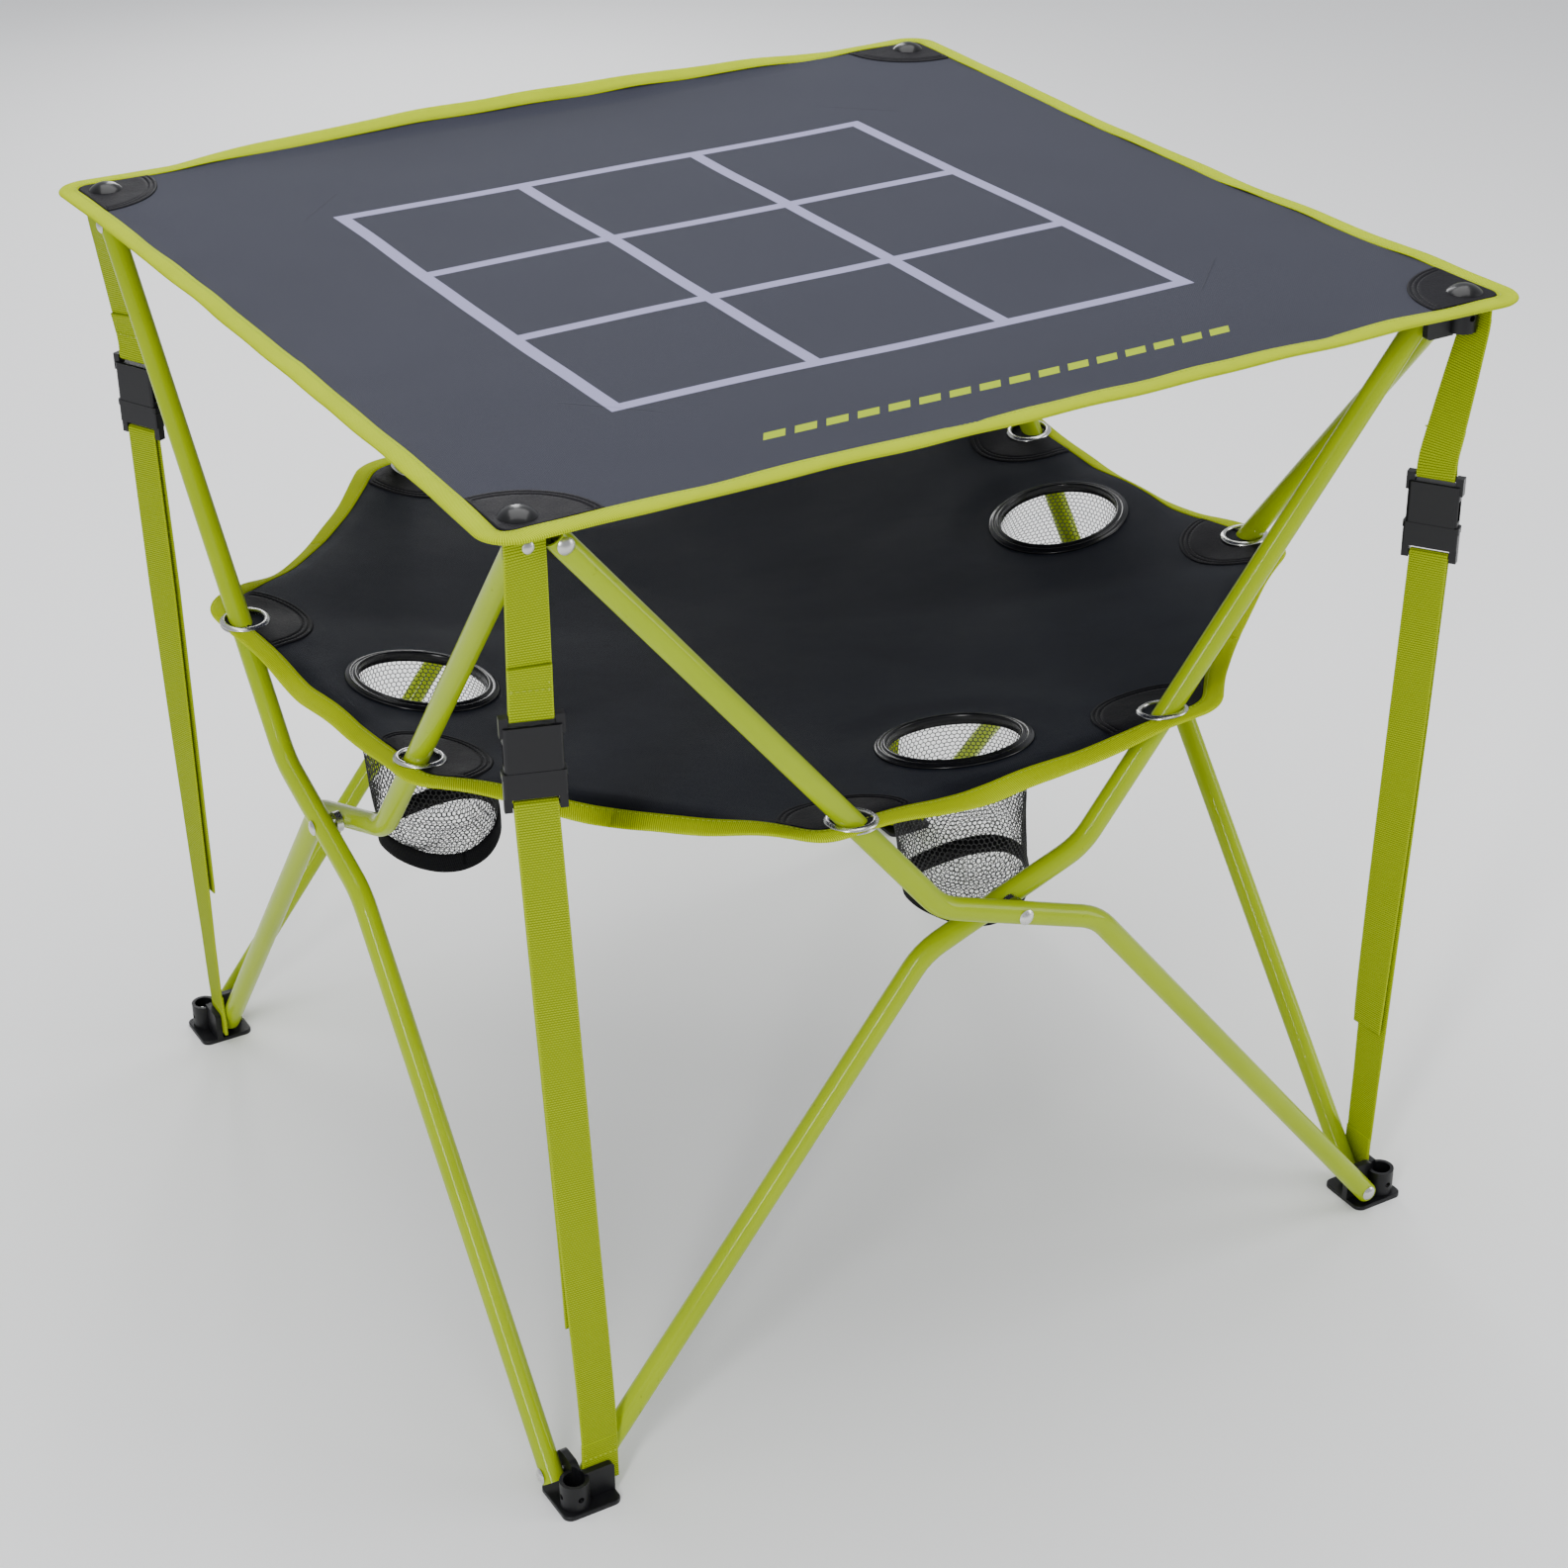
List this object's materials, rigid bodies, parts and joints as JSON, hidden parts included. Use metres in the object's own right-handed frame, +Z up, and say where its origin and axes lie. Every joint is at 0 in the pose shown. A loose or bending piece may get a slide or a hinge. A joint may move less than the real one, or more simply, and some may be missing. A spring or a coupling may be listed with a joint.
{
  "type": "folding picnic table",
  "caption": "Square folding camp table: fabric top and cup-holder shelf on crossed, bent steel tubes with buckled corner straps.",
  "frame": {"origin": "centre of the table on the floor, under the middle of the top", "axes": "+Z up; -Y the front side; the four sides repeat by quarter turns about Z"},
  "size_m": [0.709, 0.709, 0.6879],
  "materials": {
    "lime_steel": "glossy powder coat",
    "bright_steel": "plated",
    "black_steel": "black",
    "black_plastic": "moulded, fine texture",
    "buckle_plastic": "moulded, satin",
    "grey_cloth": "woven polyester, printed with a grid",
    "dark_cloth": "coated woven polyester",
    "black_vinyl": "smooth vinyl",
    "black_mesh": "open hexagonal mesh",
    "lime_webbing": "ribbed webbing"
  },
  "bodies": {
    "foot_front_left": {"foot_front_left": "black_plastic", "foot_rivets_front_left": "bright_steel", "strap_lower_front_left": "lime_webbing", "buckle_male_front_left": "buckle_plastic"},
    "hub_front_left": {"hub_front_left": "black_plastic", "hub_fasteners_front_left": "black_steel", "strap_upper_front_left": "lime_webbing", "buckle_female_front_left": "buckle_plastic", "top_panel": "grey_cloth", "top_corner_patches": "black_vinyl"},
    "tube_outer_front": {"tube_outer_front": "lime_steel"},
    "tube_inner_front": {"tube_inner_front": "lime_steel"},
    "crossing_front": {"crossing_pivot_front": "bright_steel", "shelf_panel": "dark_cloth", "shelf_edge": "lime_webbing", "shelf_patches": "black_vinyl", "shelf_grommets": "bright_steel", "cup_bags": "black_mesh"},
    "shelf_side_front": {"cup_rim_front": "black_plastic"},
    "top_side_front": {"top_edge_front": "lime_webbing"},
    "foot_front_right": {"foot_front_right": "black_plastic", "foot_rivets_front_right": "bright_steel", "strap_lower_front_right": "lime_webbing", "buckle_male_front_right": "buckle_plastic"},
    "hub_front_right": {"hub_front_right": "black_plastic", "hub_fasteners_front_right": "black_steel", "strap_upper_front_right": "lime_webbing", "buckle_female_front_right": "buckle_plastic"},
    "tube_outer_right": {"tube_outer_right": "lime_steel"},
    "tube_inner_right": {"tube_inner_right": "lime_steel"},
    "crossing_right": {"crossing_pivot_right": "bright_steel"},
    "shelf_side_right": {"cup_rim_right": "black_plastic"},
    "top_side_right": {"top_edge_right": "lime_webbing"},
    "foot_back_right": {"foot_back_right": "black_plastic", "foot_rivets_back_right": "bright_steel", "strap_lower_back_right": "lime_webbing", "buckle_male_back_right": "buckle_plastic"},
    "hub_back_right": {"hub_back_right": "black_plastic", "hub_fasteners_back_right": "black_steel", "strap_upper_back_right": "lime_webbing", "buckle_female_back_right": "buckle_plastic"},
    "tube_outer_back": {"tube_outer_back": "lime_steel"},
    "tube_inner_back": {"tube_inner_back": "lime_steel"},
    "crossing_back": {"crossing_pivot_back": "bright_steel"},
    "shelf_side_back": {"cup_rim_back": "black_plastic"},
    "top_side_back": {"top_edge_back": "lime_webbing"},
    "foot_back_left": {"foot_back_left": "black_plastic", "foot_rivets_back_left": "bright_steel", "strap_lower_back_left": "lime_webbing", "buckle_male_back_left": "buckle_plastic"},
    "hub_back_left": {"hub_back_left": "black_plastic", "hub_fasteners_back_left": "black_steel", "strap_upper_back_left": "lime_webbing", "buckle_female_back_left": "buckle_plastic"},
    "tube_outer_left": {"tube_outer_left": "lime_steel"},
    "tube_inner_left": {"tube_inner_left": "lime_steel"},
    "crossing_left": {"crossing_pivot_left": "bright_steel"},
    "shelf_side_left": {"cup_rim_left": "black_plastic"},
    "top_side_left": {"top_edge_left": "lime_webbing"}
  },
  "joints": [
    {"name": "frame_fold", "type": "hinge", "parent": "foot_front_left", "child": "tube_inner_front", "pos_m": [-0.303, -0.31, 0.015], "axis": [0, -1, 0], "range_deg": [0, 35], "deforming": ["top_panel", "top_corner_patches", "top_edge_front", "top_edge_right", "top_edge_back", "top_edge_left", "shelf_panel", "shelf_edge", "shelf_patches", "shelf_grommets", "cup_bags", "strap_lower_front_left", "strap_lower_front_right", "strap_lower_back_right", "strap_lower_back_left", "strap_upper_front_left", "strap_upper_front_right", "strap_upper_back_right", "strap_upper_back_left"]},
    {"name": "front_crossing", "type": "hinge", "parent": "tube_inner_front", "child": "tube_outer_front", "pos_m": [0, -0.32, 0.34], "axis": [0, 1, 0], "range_deg": [0, 70]},
    {"name": "front_left_hub_rivet", "type": "hinge", "parent": "tube_outer_front", "child": "hub_front_left", "pos_m": [-0.303, -0.33, 0.665], "axis": [0, -1, 0], "range_deg": [0, 35]},
    {"name": "front_right_foot_rivet", "type": "hinge", "parent": "tube_outer_front", "child": "foot_front_right", "pos_m": [0.303, -0.33, 0.015], "axis": [0, -1, 0], "range_deg": [0, 35]},
    {"name": "front_right_hub_rivet", "type": "hinge", "parent": "tube_inner_front", "child": "hub_front_right", "pos_m": [0.303, -0.31, 0.665], "axis": [0, 1, 0], "range_deg": [0, 35]},
    {"name": "front_crossing_pin", "type": "hinge", "parent": "tube_outer_front", "child": "crossing_front", "pos_m": [0, -0.32, 0.34], "axis": [0, -1, 0], "range_deg": [0, 35]},
    {"name": "right_inner_foot_rivet", "type": "hinge", "parent": "foot_front_right", "child": "tube_inner_right", "pos_m": [0.31, -0.303, 0.015], "axis": [1, 0, 0], "range_deg": [0, 35]},
    {"name": "right_crossing", "type": "hinge", "parent": "tube_inner_right", "child": "tube_outer_right", "pos_m": [0.32, 0, 0.34], "axis": [-1, 0, 0], "range_deg": [0, 70]},
    {"name": "right_crossing_pin", "type": "hinge", "parent": "tube_outer_right", "child": "crossing_right", "pos_m": [0.32, 0, 0.34], "axis": [1, 0, 0], "range_deg": [0, 35]},
    {"name": "back_right_hub_rivet", "type": "hinge", "parent": "tube_inner_right", "child": "hub_back_right", "pos_m": [0.31, 0.303, 0.665], "axis": [-1, 0, 0], "range_deg": [0, 35]},
    {"name": "back_right_foot_rivet", "type": "hinge", "parent": "tube_outer_right", "child": "foot_back_right", "pos_m": [0.33, 0.303, 0.015], "axis": [1, 0, 0], "range_deg": [0, 35]},
    {"name": "left_outer_foot_rivet", "type": "hinge", "parent": "foot_front_left", "child": "tube_outer_left", "pos_m": [-0.33, -0.303, 0.015], "axis": [1, 0, 0], "range_deg": [0, 35]},
    {"name": "left_crossing", "type": "hinge", "parent": "tube_outer_left", "child": "tube_inner_left", "pos_m": [-0.32, 0, 0.34], "axis": [-1, 0, 0], "range_deg": [0, 70]},
    {"name": "left_crossing_pin", "type": "hinge", "parent": "tube_outer_left", "child": "crossing_left", "pos_m": [-0.32, 0, 0.34], "axis": [-1, 0, 0], "range_deg": [0, 35]},
    {"name": "back_left_hub_rivet", "type": "hinge", "parent": "tube_outer_left", "child": "hub_back_left", "pos_m": [-0.33, 0.303, 0.665], "axis": [-1, 0, 0], "range_deg": [0, 35]},
    {"name": "back_left_foot_rivet", "type": "hinge", "parent": "tube_inner_left", "child": "foot_back_left", "pos_m": [-0.31, 0.303, 0.015], "axis": [1, 0, 0], "range_deg": [0, 35]},
    {"name": "back_inner_foot_rivet", "type": "hinge", "parent": "foot_back_right", "child": "tube_inner_back", "pos_m": [0.303, 0.31, 0.015], "axis": [0, 1, 0], "range_deg": [0, 35]},
    {"name": "back_crossing", "type": "hinge", "parent": "tube_inner_back", "child": "tube_outer_back", "pos_m": [0, 0.32, 0.34], "axis": [0, -1, 0], "range_deg": [0, 70]},
    {"name": "back_crossing_pin", "type": "hinge", "parent": "tube_outer_back", "child": "crossing_back", "pos_m": [0, 0.32, 0.34], "axis": [0, 1, 0], "range_deg": [0, 35]},
    {"name": "shelf_drop_front", "type": "hinge", "parent": "crossing_front", "child": "shelf_side_front", "pos_m": [0, -0.299, 0.4435], "axis": [-1, 0, 0], "range_deg": [0, 90]},
    {"name": "top_drop_front", "type": "hinge", "parent": "hub_front_left", "child": "top_side_front", "pos_m": [0, -0.345, 0.681], "axis": [-1, 0, 0], "range_deg": [0, 73]},
    {"name": "shelf_drop_right", "type": "hinge", "parent": "crossing_right", "child": "shelf_side_right", "pos_m": [0.299, 0, 0.4435], "axis": [0, -1, 0], "range_deg": [0, 90]},
    {"name": "top_drop_right", "type": "hinge", "parent": "hub_front_right", "child": "top_side_right", "pos_m": [0.345, 0, 0.681], "axis": [0, -1, 0], "range_deg": [0, 73]},
    {"name": "shelf_drop_back", "type": "hinge", "parent": "crossing_back", "child": "shelf_side_back", "pos_m": [0, 0.299, 0.4435], "axis": [1, 0, 0], "range_deg": [0, 90]},
    {"name": "top_drop_back", "type": "hinge", "parent": "hub_back_right", "child": "top_side_back", "pos_m": [0, 0.345, 0.681], "axis": [1, 0, 0], "range_deg": [0, 73]},
    {"name": "shelf_drop_left", "type": "hinge", "parent": "crossing_left", "child": "shelf_side_left", "pos_m": [-0.299, 0, 0.4435], "axis": [0, 1, 0], "range_deg": [0, 90]},
    {"name": "top_drop_left", "type": "hinge", "parent": "hub_back_left", "child": "top_side_left", "pos_m": [-0.345, 0, 0.681], "axis": [0, 1, 0], "range_deg": [0, 73]}
  ],
  "couplings": [
    {"joint": "front_crossing", "follows": "frame_fold", "ratio": 2},
    {"joint": "front_left_hub_rivet", "follows": "frame_fold", "ratio": 1},
    {"joint": "front_right_foot_rivet", "follows": "frame_fold", "ratio": 1},
    {"joint": "front_right_hub_rivet", "follows": "frame_fold", "ratio": 1},
    {"joint": "front_crossing_pin", "follows": "frame_fold", "ratio": 1},
    {"joint": "right_inner_foot_rivet", "follows": "frame_fold", "ratio": 1},
    {"joint": "right_crossing", "follows": "frame_fold", "ratio": 2},
    {"joint": "right_crossing_pin", "follows": "frame_fold", "ratio": 1},
    {"joint": "back_right_hub_rivet", "follows": "frame_fold", "ratio": 1},
    {"joint": "back_right_foot_rivet", "follows": "frame_fold", "ratio": 1},
    {"joint": "left_outer_foot_rivet", "follows": "frame_fold", "ratio": 1},
    {"joint": "left_crossing", "follows": "frame_fold", "ratio": 2},
    {"joint": "left_crossing_pin", "follows": "frame_fold", "ratio": 1},
    {"joint": "back_left_hub_rivet", "follows": "frame_fold", "ratio": 1},
    {"joint": "back_left_foot_rivet", "follows": "frame_fold", "ratio": 1},
    {"joint": "back_inner_foot_rivet", "follows": "frame_fold", "ratio": 1},
    {"joint": "back_crossing", "follows": "frame_fold", "ratio": 2},
    {"joint": "back_crossing_pin", "follows": "frame_fold", "ratio": 1},
    {"joint": "shelf_drop_front", "follows": "frame_fold", "ratio": 2.5714},
    {"joint": "top_drop_front", "follows": "frame_fold", "ratio": 2.0857},
    {"joint": "shelf_drop_right", "follows": "frame_fold", "ratio": 2.5714},
    {"joint": "top_drop_right", "follows": "frame_fold", "ratio": 2.0857},
    {"joint": "shelf_drop_back", "follows": "frame_fold", "ratio": 2.5714},
    {"joint": "top_drop_back", "follows": "frame_fold", "ratio": 2.0857},
    {"joint": "shelf_drop_left", "follows": "frame_fold", "ratio": 2.5714},
    {"joint": "top_drop_left", "follows": "frame_fold", "ratio": 2.0857}
  ]
}
